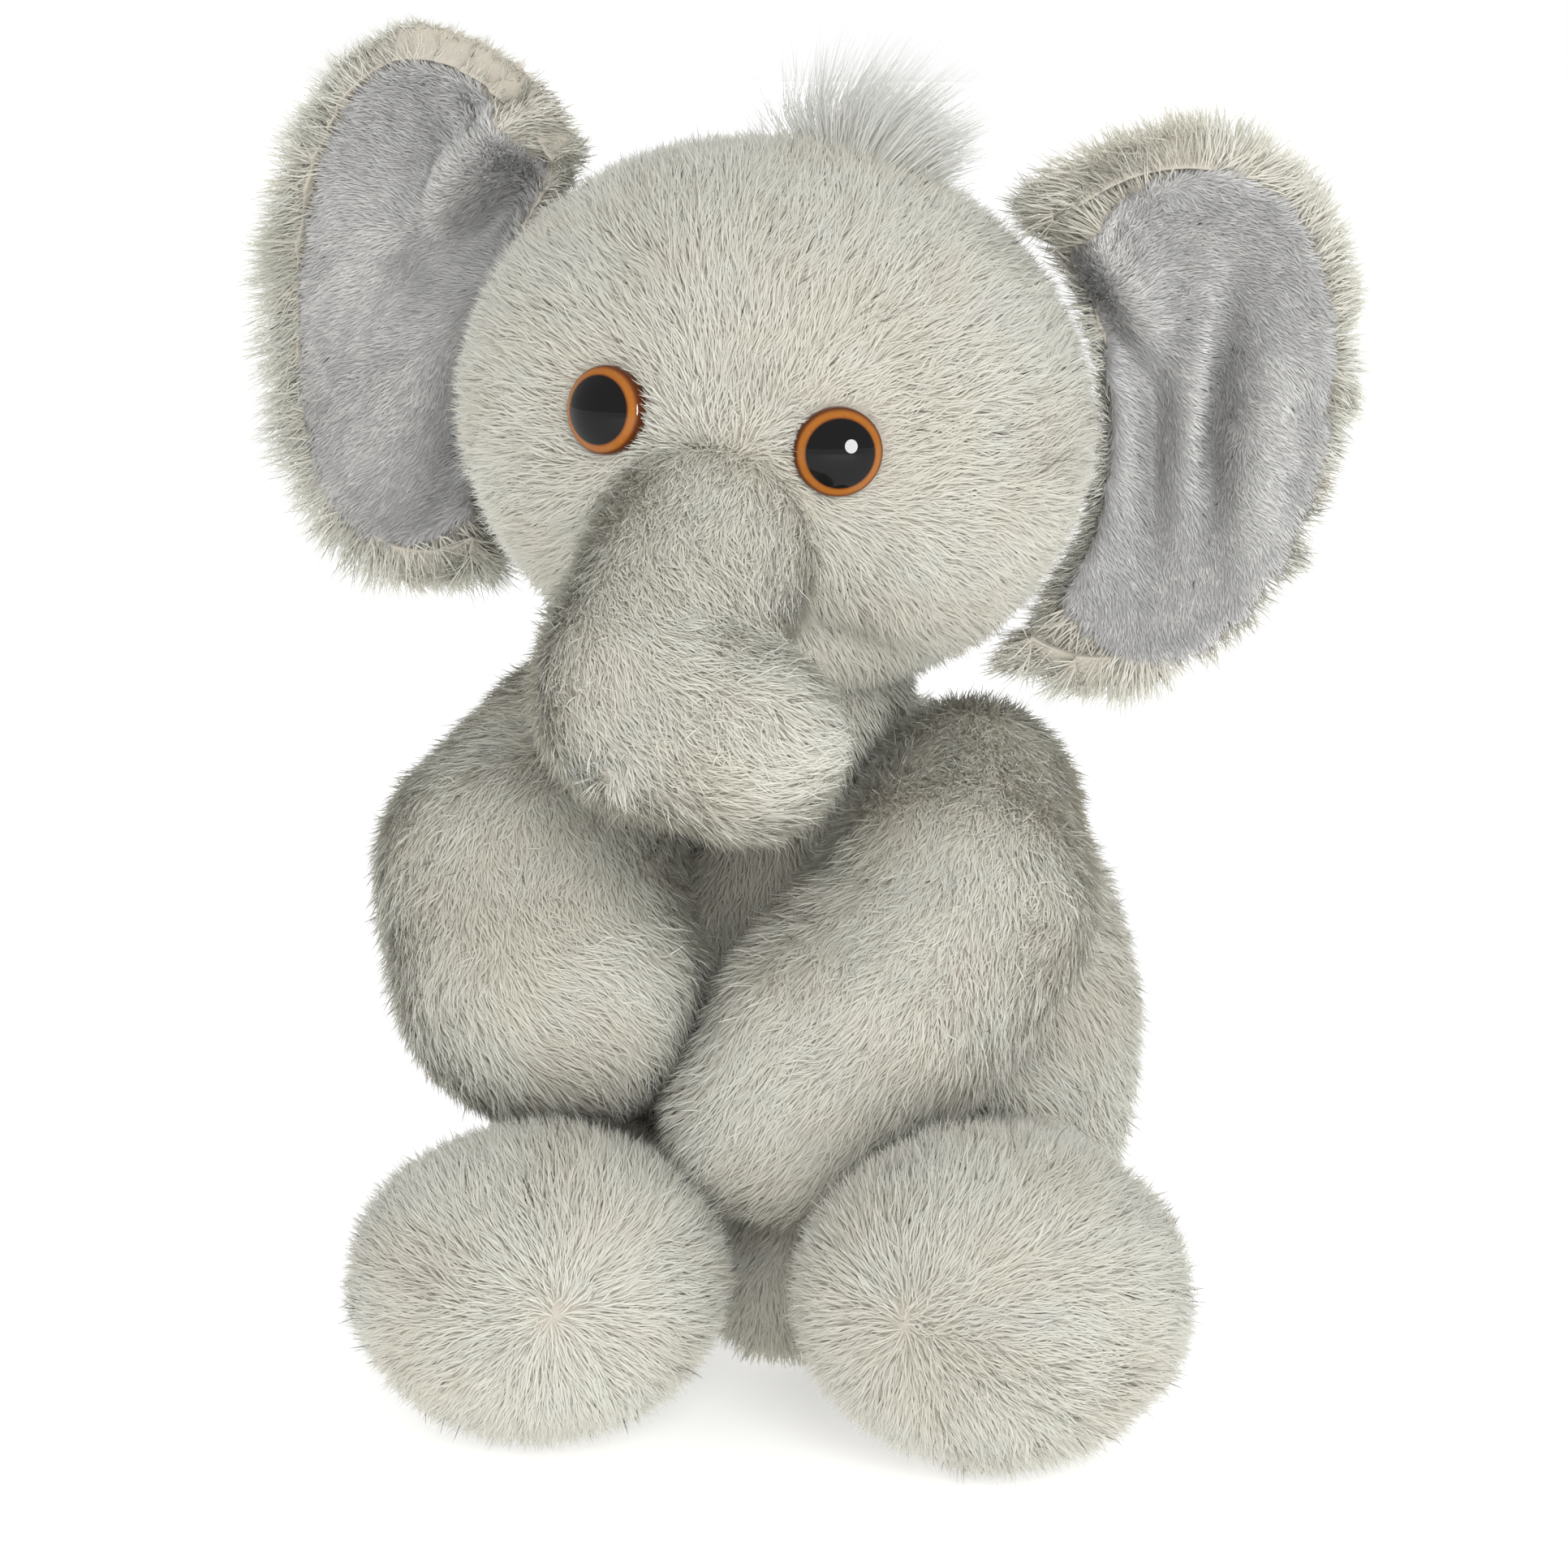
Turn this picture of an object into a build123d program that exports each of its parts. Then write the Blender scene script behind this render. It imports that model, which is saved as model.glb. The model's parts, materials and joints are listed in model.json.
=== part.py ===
"""Seated stuffed elephant in long-pile plush, as a sewn and stuffed assembly.

Millimetres, +Z up.  The toy sits on the plane z = 0 and faces -Y, so its own left is +X.
Outer forms are drawn to the tips of the pile; WALL is the cloth with its pile.
Every soft part is a function of one inset, so a cover, the hollow inside it and the
filling that goes in the hollow come from the same form.
"""
from build123d import *
from math import asin, cos, sin, sqrt, radians
import os

# ---------------------------------------------------------------- driving dimensions
WALL = 6.0                      # plush cloth with its pile
FIT = 0.5                       # between a wall and the filling behind it
SEAM = 0.7                      # between two parts that turn against each other
TRUNK_SEAM = 1.6                # more at the trunk, whose root is almost as thick as its socket
CENTRE = (2.05, 17.75)           # moves the model so that its box is centred on the origin

NECK = (0, 0, 142)              # the neck turns about the upright through this point
NECK_R = 28
TORSO_AT = (0, 24, 62)
TORSO_HALF = (78, 46, 82)
LAP_AT = (0, 4, 26)             # the low belly between the legs
LAP_HALF = (27, 47, 56)
CHEST = (0, 18, 108, 30)        # the ball that carries the body up to the neck
SEAT_HEIGHT = 16                # the seat panel turns up this far round the bottom
BELLY_HALF_WIDTH = 40

HEAD_AT = (-4.6, -15, 204)
HEAD_TURN = (0, 9, -7)          # tilted to its left and turned a little to its right
HEAD_HALF = (69, 60, 60)
GUSSET_HALF_WIDTH = 17
CHIN_Z = -18

EYE_X, EYE_Z = 25.5, 0.6
EYE_OUT = 21                    # degrees the eyes look outwards
EYE_R, EYE_DOME = 9.0, 5.0
PUPIL_R, IRIS_T, STEM_R, STEM_L = 7.0, 1.4, 2.2, 15
WASHER_R, WASHER_T = 6.5, 1.6
EYE_DEPTH = 4.0                 # the eye's back below the pile tips
EYE_FIT = 0.2                   # around the eye's rim
EYE_POCKET = 30                 # the space kept free behind the washer

TRUNK = [(0, -45, -22, 23.5), (-3, -74, -49, 22.5), (19, -80, -53, 19.5)]
TRUNK_SEAM_FACES = (0, -0.80, 0.60)     # the seam along the trunk's sides faces this way

EAR_AT = {"left": (73, 20, 14), "right": (-79, 20, 10)}
EAR_HALF = (45, 60)
EAR_TURN = (0, 9, 17)           # leans and opens outwards
EAR_BOWL = 95                   # radius of the cupped front
EAR_BACK, EAR_WADDING, EAR_LINING, EAR_RIM = 7.0, 4.0, 3.0, 7.0
EAR_GAP = 3.0                   # at the root seam
EAR_DEPTH = 60                  # of the bowl's sphere, so that only its cupped side stays

ARMS = {"left": [(38, -15, 121, 22), (36, -41, 104, 29), (24, -60, 86, 25), (4, -62.5, 60, 18)],
        "right": [(-45, -12, 128, 25), (-57, -35, 108, 31), (-51, -48, 89, 31)]}

HIP = (47.5, -26, 29.5, 25.5)
FEET = {"left": ((46, -93, 35), (41, 37, 35)), "right": ((-47, -84, 33), (40, 37, 33))}
TOE_BACK = 26                   # the leg's tube ends this far behind the foot's middle
FOOT_SEAM_BACK = 6              # and the foot's front panel this far
FOOT_POUCH_HALF, FOOT_POUCH_DROP = (24, 21, 14), 8
SEAT_POUCH_AT, SEAT_POUCH_HALF = (0, 24, 26), (38, 29, 13)
SIDES = {"left": 1, "right": -1}

TAIL = [(0, 74, 50, 7.5), (0, 86, 25, 5.5)]
TAIL_TUFT = [(0, 87.5, 21, 6.5), (0, 90, 9, 4.5)]
FORELOCK = [(8, 6, 60.5, 4.5), (14, 12, 78, 2.0)]

HEAD = Pos(*HEAD_AT) * Rot(*HEAD_TURN)
NECK_IN_HEAD = HEAD.inverse() * Pos(*NECK)
FAR = 400                       # larger than the toy, for cutting blocks
OVER = 1                        # how far a cutter reaches past what it cuts
BALL_STEP = 0.15                # between one capsule of a limb and the next


# ---------------------------------------------------------------- plain forms
def ellipsoid(half, inset=0.0):
    return scale(Sphere(1), by=tuple(h - inset for h in half))


def capsule(start, end, inset=0.0):
    """Two balls, each (x, y, z, radius), with the cone that touches both."""
    a, b = Vector(*start[:3]), Vector(*end[:3])
    ra, rb = start[3] - inset, end[3] - inset
    length = (b - a).length
    lean = asin((ra - rb) / length)
    back = (radians(90) + lean) / 2
    front = (radians(90) - lean) / 2
    touch_a = (ra * cos(lean), ra * sin(lean))
    touch_b = (rb * cos(lean), length + rb * sin(lean))
    outline = ThreePointArc((0, -ra), (ra * sin(back), -ra * cos(back)), touch_a)
    outline += Line(touch_a, touch_b)
    outline += ThreePointArc(touch_b, (rb * sin(front), length + rb * cos(front)), (0, length + rb))
    outline += Line((0, length + rb), (0, -ra))
    solid = revolve(make_face(Plane.XZ * outline), Axis.Z)
    return Plane(a, z_dir=b - a).location * solid


def limb(points, inset=0.0):
    """A chain of capsules, each a hair smaller than the last so that no balls coincide."""
    solid = capsule(points[0], points[1], inset)
    for number, (start, end) in enumerate(zip(points[1:-1], points[2:]), 1):
        solid += capsule(start, end, inset + BALL_STEP * number)
    return solid


def ball(point, radius):
    return Pos(*point[:3]) * Sphere(radius)


def above(z):
    return Pos(0, 0, z) * Box(FAR, FAR, FAR, align=(Align.CENTER, Align.CENTER, Align.MIN))


def below(z):
    return Pos(0, 0, z) * Box(FAR, FAR, FAR, align=(Align.CENTER, Align.CENTER, Align.MAX))


def to_side(x, side):
    """Everything beyond the upright plane at x, on the left (1) or the right (-1)."""
    align = Align.MIN if side > 0 else Align.MAX
    return Pos(x, 0, 0) * Box(FAR, FAR, FAR, align=(align, Align.CENTER, Align.CENTER))


def strip(half_width):
    return Box(2 * half_width, FAR, FAR)


def in_front_of(y):
    return Pos(0, y, 0) * Box(FAR, FAR, FAR, align=(Align.CENTER, Align.MAX, Align.CENTER))


def behind(y):
    return Pos(0, y, 0) * Box(FAR, FAR, FAR, align=(Align.CENTER, Align.MIN, Align.CENTER))


# ---------------------------------------------------------------- legs
def leg(side, inset=0.0):
    x, y, z, radius = HIP
    middle, half = FEET[side]
    hip = (SIDES[side] * x, y, z, radius)
    toe = (middle[0], middle[1] + TOE_BACK, z, radius - BALL_STEP)
    return capsule(hip, toe, inset) + Pos(*middle) * ellipsoid(half, inset)


def foot_pouch(side, inset=0.0):
    x, y, z = FEET[side][0]
    return Pos(x, y, z - FOOT_POUCH_DROP) * ellipsoid(FOOT_POUCH_HALF, inset)


def leg_parts(side):
    middle, half = FEET[side]
    seam_y = middle[1] + FOOT_SEAM_BACK
    foot = Pos(*middle) * (ellipsoid(half) - ellipsoid(half, WALL))
    rest = (leg(side) - leg(side, WALL)) & behind(seam_y)
    return {
        f"{side}_foot_front_panel": foot & in_front_of(seam_y),
        f"{side}_leg_upper_panel": rest & above(HIP[2]),
        f"{side}_leg_under_panel": rest & below(HIP[2]),
        f"{side}_leg_filling": leg(side, WALL + FIT) - foot_pouch(side),
        f"{side}_foot_pellet_pouch": foot_pouch(side, FIT),
    }


# ---------------------------------------------------------------- arms
def arm_parts(side):
    points = ARMS[side]
    cover = limb(points) - limb(points, WALL)
    outer = to_side(points[1][0], SIDES[side])
    return {
        f"{side}_arm_outer_panel": cover & outer,
        f"{side}_arm_inner_panel": cover - outer,
        f"{side}_arm_filling": limb(points, WALL + FIT),
    }


# ---------------------------------------------------------------- tail
def tail_parts():
    root, end = TAIL
    tuft = capsule(*TAIL_TUFT)
    return {
        "tail_cover": capsule(root, end) - tuft,
        "tail_tuft": tuft,
    }


# ---------------------------------------------------------------- torso
def torso(inset=0.0):
    """The body's form, hollowed where the arms lie and the hips and tail are sewn on."""
    neck = (*NECK, NECK_R)
    form = Pos(*TORSO_AT) * ellipsoid(TORSO_HALF, inset) + capsule(CHEST, neck, inset)
    form += Pos(*LAP_AT) * ellipsoid(LAP_HALF, inset)
    hips = [(SIDES[side] * HIP[0], *HIP[1:]) for side in SIDES]
    hollows = [ball(root, root[3] + SEAM + inset) for root in [TAIL[0]] + hips]
    hollows += [capsule(points[0], points[1], -SEAM - inset) for points in ARMS.values()]
    return form - hollows - below(inset)


def seat_pouch(inset=0.0):
    return Pos(*SEAT_POUCH_AT) * ellipsoid(SEAT_POUCH_HALF, inset)


def torso_parts():
    cover = torso() - torso(WALL)
    sides = cover & above(SEAT_HEIGHT)
    front = sides & in_front_of(0)
    back = sides & behind(0)
    parts = {
        "torso_seat_panel": cover & below(SEAT_HEIGHT),
        "torso_belly_panel": front & strip(BELLY_HALF_WIDTH),
        "torso_filling": torso(WALL + FIT) - seat_pouch(),
        "seat_pellet_pouch": seat_pouch(FIT),
    }
    for side, sign in SIDES.items():
        parts[f"torso_{side}_flank_panel"] = front & to_side(sign * BELLY_HALF_WIDTH, sign)
        parts[f"torso_{side}_back_panel"] = back & to_side(0, sign)
    return parts


# ---------------------------------------------------------------- head, in its own frame
def eye_place(side):
    """The eye's back centre, with local Z looking out of the head."""
    turn = radians(EYE_OUT)
    x = SIDES[side] * EYE_X
    y = -HEAD_HALF[1] * sqrt(1 - (EYE_X / HEAD_HALF[0]) ** 2)
    out = Vector(SIDES[side] * sin(turn), -cos(turn), 0)
    return Plane(Vector(x, y, EYE_Z) - out * EYE_DEPTH, x_dir=(0, 0, 1), z_dir=out).location


def cylinder(radius, low, high):
    return Pos(0, 0, low) * Cylinder(radius, high - low, align=(Align.CENTER, Align.CENTER, Align.MIN))


def eye_parts(side):
    radius = (EYE_R ** 2 + EYE_DOME ** 2) / (2 * EYE_DOME)
    lens = Pos(0, 0, EYE_DOME - radius) * Sphere(radius) & cylinder(EYE_R + OVER, 0, EYE_DOME + OVER)
    disc = cylinder(EYE_R - EYE_FIT, -IRIS_T, 0)
    pupil = cylinder(PUPIL_R, -IRIS_T, 0)
    washer_at = -EYE_DEPTH - IRIS_T
    washer = cylinder(WASHER_R, washer_at - WASHER_T, washer_at) - cylinder(STEM_R, -STEM_L, 0)
    pieces = {
        f"{side}_eye_lens": lens,
        f"{side}_eye_iris": disc - pupil,
        f"{side}_eye_pupil": pupil + cylinder(STEM_R, -STEM_L, -IRIS_T),
        f"{side}_eye_washer": washer,
    }
    return {name: eye_place(side) * piece for name, piece in pieces.items()}


def eye_seat(side):
    """The space that an eye takes out of the cover."""
    seat = cylinder(EYE_R + EYE_FIT, -IRIS_T, 3 * EYE_DOME) + cylinder(STEM_R, -STEM_L, 0)
    washer_at = -EYE_DEPTH - IRIS_T
    return eye_place(side) * (seat + cylinder(WASHER_R + FIT, washer_at - EYE_POCKET, washer_at))


def head_form(inset=0.0):
    form = ellipsoid(HEAD_HALF, inset)
    form -= NECK_IN_HEAD * Sphere(NECK_R + SEAM + inset)
    return form - limb(TRUNK, -TRUNK_SEAM - inset)


def head_parts():
    cover = head_form() - head_form(WALL)
    for side in SIDES:
        cover -= eye_seat(side)
    chin = cover & below(CHIN_Z)
    upper = cover & above(CHIN_Z)
    filling = head_form(WALL + FIT)
    for side in SIDES:
        filling -= eye_place(side) * cylinder(WASHER_R + FIT, -STEM_L - FIT, 0)
    parts = {
        "head_chin_panel": chin,
        "head_centre_gusset": upper & strip(GUSSET_HALF_WIDTH),
        "head_filling": filling,
        "forelock_tuft": capsule(*FORELOCK) - ellipsoid(HEAD_HALF),
    }
    for side, sign in SIDES.items():
        parts[f"head_{side}_panel"] = upper & to_side(sign * GUSSET_HALF_WIDTH, sign)
        parts.update(eye_parts(side))
    return parts


# ---------------------------------------------------------------- trunk
def trunk_parts():
    cover = limb(TRUNK) - limb(TRUNK, WALL)
    front = Plane(TRUNK[0][:3], z_dir=TRUNK_SEAM_FACES).location * above(0)
    return {
        "trunk_upper_panel": cover & front,
        "trunk_under_panel": cover - front,
        "trunk_filling": limb(TRUNK, WALL + FIT),
    }


# ---------------------------------------------------------------- ears
def ear_layer(front, back, inset):
    """The part of the ear between two depths behind the cupped front face."""
    half_width, half_height = EAR_HALF
    outline = Rot(90, 0, 0) * extrude(Ellipse(half_width - inset, half_height - inset), EAR_BOWL, both=True)
    centre = Pos(0, -EAR_BOWL, 0)
    return (centre * Sphere(EAR_BOWL + back) & outline) - centre * Sphere(EAR_BOWL + front)


def ear_parts(side):
    sign = SIDES[side]
    place = Pos(*EAR_AT[side]) * Rot(EAR_TURN[0], sign * EAR_TURN[1], sign * EAR_TURN[2])
    middle = EAR_LINING + EAR_WADDING
    lining = ear_layer(0, EAR_LINING, EAR_RIM)
    wadding = ear_layer(EAR_LINING, middle, EAR_RIM)
    back = ear_layer(0, middle + EAR_BACK, 0) - ear_layer(-OVER, middle, EAR_RIM)
    skull = ellipsoid(HEAD_HALF, -EAR_GAP)
    layers = {"ear_lining": lining, "ear_wadding": wadding, "ear_back_panel": back}
    return {f"{side}_{name}": place * (layer & behind(-EAR_DEPTH)) - skull for name, layer in layers.items()}


# ---------------------------------------------------------------- the whole toy
def build():
    parts = torso_parts() | tail_parts()
    for side in SIDES:
        parts |= arm_parts(side) | leg_parts(side)
    on_head = head_parts() | trunk_parts() | ear_parts("left") | ear_parts("right")
    parts |= {name: HEAD * shape for name, shape in on_head.items()}
    shift = Pos(CENTRE[0], CENTRE[1], 0)
    return {name: shift * shape for name, shape in parts.items()}


if __name__ == "__main__":
    os.makedirs("parts", exist_ok=True)
    for name, shape in build().items():
        export_step(shape, f"parts/{name}.step")
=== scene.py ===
"""Seated stuffed elephant: swollen skins, standing pile, lined ears, domed eyes and a forelock.

Metres, +Z up, the toy faces -Y and its own left is +X.  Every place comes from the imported
model: the boxes of its nodes, its joints, and its solids, which are remeshed into the skins
that the pile is planted on.
"""
import json
from itertools import product
from math import cos, pi, radians, sin, sqrt

import bmesh
import bpy
import numpy as np
from bpy.props import FloatProperty, FloatVectorProperty, IntProperty, PointerProperty
from bpy.types import Operator, Panel, PropertyGroup
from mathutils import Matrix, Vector
from mathutils.bvhtree import BVHTree


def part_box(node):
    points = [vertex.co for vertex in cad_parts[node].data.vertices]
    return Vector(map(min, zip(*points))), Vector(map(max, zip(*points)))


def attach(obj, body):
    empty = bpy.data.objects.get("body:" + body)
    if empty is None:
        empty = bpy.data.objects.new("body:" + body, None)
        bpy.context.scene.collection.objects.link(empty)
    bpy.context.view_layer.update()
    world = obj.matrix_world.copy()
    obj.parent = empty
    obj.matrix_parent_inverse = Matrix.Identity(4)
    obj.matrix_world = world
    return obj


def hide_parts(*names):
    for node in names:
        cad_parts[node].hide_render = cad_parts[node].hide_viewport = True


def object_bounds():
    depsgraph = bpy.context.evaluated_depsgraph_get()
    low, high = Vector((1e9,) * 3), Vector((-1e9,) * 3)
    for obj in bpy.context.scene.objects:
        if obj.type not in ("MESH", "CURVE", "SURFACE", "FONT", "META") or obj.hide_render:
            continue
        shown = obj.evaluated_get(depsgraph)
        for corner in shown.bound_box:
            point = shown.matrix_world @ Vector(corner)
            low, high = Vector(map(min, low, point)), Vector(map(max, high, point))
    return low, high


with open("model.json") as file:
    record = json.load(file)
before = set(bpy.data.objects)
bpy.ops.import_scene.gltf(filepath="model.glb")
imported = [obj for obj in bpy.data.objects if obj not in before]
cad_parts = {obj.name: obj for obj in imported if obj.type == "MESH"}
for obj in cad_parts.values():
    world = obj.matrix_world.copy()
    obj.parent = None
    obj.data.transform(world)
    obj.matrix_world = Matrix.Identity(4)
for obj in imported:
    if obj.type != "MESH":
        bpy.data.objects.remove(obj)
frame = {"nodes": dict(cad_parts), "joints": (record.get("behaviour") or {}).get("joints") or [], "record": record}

bl_info = {
    "name": "Stuffed Elephant",
    "version": (1, 0, 0),
    "blender": (4, 5, 0),
    "location": "View3D > Sidebar > Elephant",
    "description": "Dresses the packed stuffed elephant with skins, pile, ears and eyes",
    "category": "Object",
}

CAD_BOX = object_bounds()
MM = 0.001
SIDES = {"left": 1, "right": -1}
BAKE_LAYER = "OFBake"
MOST_STRANDS = 100000           # in one piece, so that each has its own cell of the bake layer
STRAND_WAIST = 0.8              # a strand's width half-way up, beside its root's
HIDDEN_DEPTH = 4.5 * MM         # no strand is rooted deeper than this inside another skin
SMOOTH_PAIR = (0.6, -0.58)      # smoothing, then the step back that keeps the skin's size
SWELL_FRAMES = 20               # of the cloth simulation that swells a skin
SWELL_PRESSURE = 4.0
SOFT = ("panel", "gusset", "filling", "pouch", "cover", "wadding")
FLOOR_HALF = 60.0               # so far that the floor has no edge in sight
FLOOR_DROP = 0.3 * MM
FLOOR_GLOW = 0.52               # lifts the floor to white outside the soft shadow
LOOK_SHIFT = (-2 * MM, 17.75 * MM)          # from the box's middle to what the camera looks at
KEY_AT, KEY_ACROSS = (0.32, -1.20, 0.50), 0.60
CATCH_AT, CATCH_ACROSS = (0.80, -0.98, 0.17), 0.50
JOINTS = {joint["name"]: joint for joint in frame["joints"]}


# ---------------------------------------------------------------- sizes and colours
def length(name, description, default):
    return FloatProperty(name=name, description=description, default=default, min=0.0,
                         precision=4, unit="LENGTH", subtype="DISTANCE")


def share(name, description, default):
    return FloatProperty(name=name, description=description, default=default, min=0.0, max=1.0,
                         subtype="FACTOR")


def angle(name, description, default):
    return FloatProperty(name=name, description=description, default=radians(default),
                         unit="ROTATION", subtype="ANGLE")


def colour(name, description, default):
    return FloatVectorProperty(name=name, description=description, default=default, size=3,
                               min=0.0, max=1.0, subtype="COLOR")


class PlushSizes(PropertyGroup):
    """The sizes of the skins and of the pile that stands on them."""
    grain: length("Grain", "Voxel that the skins are remeshed with", 0.004)
    draw_in: length("Draw in", "How far the skin lies below the tips of the pile", 0.0040)
    swell: length("Swell", "The furthest that stuffing pushes a skin out", 0.003)
    pile: length("Pile", "Length of one strand of the body's pile", 0.0070)
    blade: length("Strand width", "Width of a strand of pile at its root", 0.00031)
    density: IntProperty(name="Density", description="Strands of pile on a square centimetre",
                         default=260, min=1)
    tuft: length("Tuft", "Distance between the tufts that the pile gathers in", 0.0052)
    gather: share("Gather", "How far the tips lean towards their tuft's middle", 0.48)
    nap: length("Nap", "Length of the ear lining's short nap", 0.0027)
    nap_density: IntProperty(name="Nap density", default=420, min=1,
                             description="Strands on a square centimetre of lining")
    fringe: length("Fringe", "Length of the pile round the ears", 0.0105)
    forelock: length("Forelock", "Length of the long hair on the crown", 0.031)


class PlushColours(PropertyGroup):
    """The colours of the cloths, the hair and the eyes."""
    tip: colour("Pile tip", "Pale silver of the tips", (0.76, 0.765, 0.688))
    root: colour("Pile root", "Taupe of the roots", (0.60, 0.565, 0.485))
    warm: colour("Pile patch", "Warmer patches of the pile", (0.70, 0.665, 0.56))
    cool: colour("Pile shade", "Cooler patches of the pile", (0.68, 0.69, 0.665))
    backing: colour("Backing", "Knitted cloth that the pile stands on", (0.52, 0.48, 0.41))
    satin: colour("Ear satin", "Nap of the ear lining", (0.53, 0.527, 0.52))
    satin_pale: colour("Pale ear satin", "Nap where it catches the light", (0.88, 0.87, 0.83))
    satin_root: colour("Deep ear satin", "Cloth under the nap", (0.33, 0.327, 0.325))
    hair: colour("Hair", "Long hair of the forelock and the tail", (0.90, 0.895, 0.86))
    amber: colour("Amber", "Ring round the pupil", (0.40, 0.135, 0.018))
    amber_deep: colour("Deep amber", "Edges of the ring", (0.11, 0.026, 0.006))
    pupil: colour("Pupil", "Black of the eye", (0.004, 0.004, 0.004))
    moulded: colour("Washer", "Moulded plastic of the eyes' washers", (0.78, 0.78, 0.76))
    moulded_pale: colour("Pale washer", "The washers' paler grain", (0.88, 0.88, 0.86))
    floor: colour("Floor", "Plain pale floor", (0.93, 0.93, 0.93))


class StageSizes(PropertyGroup):
    """The camera's place and the lights' strengths."""
    azimuth: angle("Azimuth", "How far the camera stands to the toy's left", 5.0)
    elevation: angle("Elevation", "How high the camera stands", 10.0)
    distance: length("Distance", "From the camera to the point it looks at", 0.9)
    focal: FloatProperty(name="Focal length", description="In millimetres, on a 36 mm sensor",
                         default=93.9, min=1.0)
    look_height: length("Look height", "Height of the point that the camera looks at", 0.122)
    key: FloatProperty(name="Key light", description="Watts of the round key light", default=7.5)
    catch: FloatProperty(name="Catch light", default=24.0,
                         description="Watts of the light seen only in the eyes")
    sky: FloatProperty(name="Sky", description="Strength of the white surroundings", default=0.66)


# ---------------------------------------------------------------- shader maths
class Value:
    """A socket that takes part in Python expressions, which add their Math nodes."""

    def __init__(self, finish, socket):
        self.finish = finish
        self.socket = socket

    def math(self, operation, first, second):
        return self.finish.node("ShaderNodeMath", {"operation": operation}, {0: first, 1: second})

    def __add__(self, other):
        return self.math("ADD", self, other)

    __radd__ = __add__

    def __sub__(self, other):
        return self.math("SUBTRACT", self, other)

    def __rsub__(self, other):
        return self.math("SUBTRACT", other, self)

    def __mul__(self, other):
        return self.math("MULTIPLY", self, other)

    __rmul__ = __mul__

    def __pow__(self, other):
        return self.math("POWER", self, other)


class Finish:
    """One material: constants are set on its shader's own sockets, the rest is fed by nodes."""

    def __init__(self, name, **constants):
        self.material = bpy.data.materials.new(name)
        self.material.use_nodes = True
        self.tree = self.material.node_tree
        self.tree.nodes.clear()
        self.shader = self.tree.nodes.new("ShaderNodeBsdfPrincipled")
        output = self.tree.nodes.new("ShaderNodeOutputMaterial")
        self.tree.links.new(self.shader.outputs["BSDF"], output.inputs["Surface"])
        for socket, value in constants.items():
            self.shader.inputs[socket.replace("_", " ")].default_value = value

    def put(self, socket, value):
        """Links a value to a socket, or sets the socket to a plain number, colour or vector."""
        if isinstance(value, Value):
            self.tree.links.new(value.socket, socket)
        elif hasattr(value, "__len__"):
            size = len(socket.default_value)
            socket.default_value = (*value, 1.0)[:size]
        else:
            socket.default_value = value

    def node(self, kind, settings=None, values=None, result=0):
        """Adds any node: its settings first, then the values or links of its sockets."""
        node = self.tree.nodes.new(kind)
        for name, setting in (settings or {}).items():
            setattr(node, name, setting)
        for name, value in (values or {}).items():
            self.put(node.inputs[name], value)
        return Value(self, node.outputs[result])

    def attribute(self, name):
        return self.node("ShaderNodeAttribute", {"attribute_name": name}, result="Fac")

    def place(self):
        return self.node("ShaderNodeTexCoord", result="Object")

    def noise(self, size, detail=2.0, stretch=(1, 1, 1)):
        """Noise from 0 to 1 whose features are about that size in metres."""
        at = self.node("ShaderNodeVectorMath", {"operation": "MULTIPLY"},
                       {0: self.place(), 1: stretch})
        return self.node("ShaderNodeTexNoise", None,
                         {"Vector": at, "Scale": 1 / size, "Detail": detail})

    def mix(self, factor, first, second):
        """A colour between two colours."""
        return self.node("ShaderNodeMix", {"data_type": "RGBA", "clamp_factor": True},
                         {"Factor": factor, 6: first, 7: second}, result=2)

    def ramp(self, factor, low, high):
        """From 0 to 1 as factor goes from low to high, smoothly."""
        return self.node("ShaderNodeMapRange", {"interpolation_type": "SMOOTHSTEP"},
                         {"Value": factor, "From Min": low, "From Max": high})

    def feed(self, socket, value):
        self.put(self.shader.inputs[socket], value)

    def bump(self, height, strength, distance):
        values = {"Height": height, "Strength": strength, "Distance": distance}
        self.feed("Normal", self.node("ShaderNodeBump", None, values))


def plush_pile(colours):
    """Strands that are taupe at the root and pale at the tip, in warmer and cooler patches."""
    finish = Finish("plush_pile", Roughness=0.72, Specular_IOR_Level=0.22, Sheen_Weight=0.25,
                    Sheen_Roughness=0.45)
    along = finish.attribute("along")
    tint = finish.attribute("tint")
    patch = finish.ramp(finish.noise(0.030), 0.38, 0.64)
    shade = finish.ramp(finish.noise(0.017, stretch=(1, 1, 1.4)), 0.50, 0.74)
    tip = finish.mix(patch * 0.55, colours.tip, colours.warm)
    tip = finish.mix(shade * 0.45, tip, colours.cool)
    pale = along ** 0.5 * (0.84 + tint * 0.20)
    finish.feed("Base Color", finish.mix(pale, colours.root, tip))
    finish.feed("Roughness", 0.80 - along * 0.16)
    return finish.material


def plush_backing(colours):
    """The knitted backing, seen only between the strands."""
    finish = Finish("plush_backing", Specular_IOR_Level=0.1, Sheen_Weight=0.1)
    knit = finish.noise(0.0012, detail=3.0)
    finish.feed("Base Color", finish.mix(knit * 0.7, colours.backing, colours.root))
    finish.feed("Roughness", 0.95 - knit * 0.1)
    finish.bump(knit, 0.6, 0.0006)
    return finish.material


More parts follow.
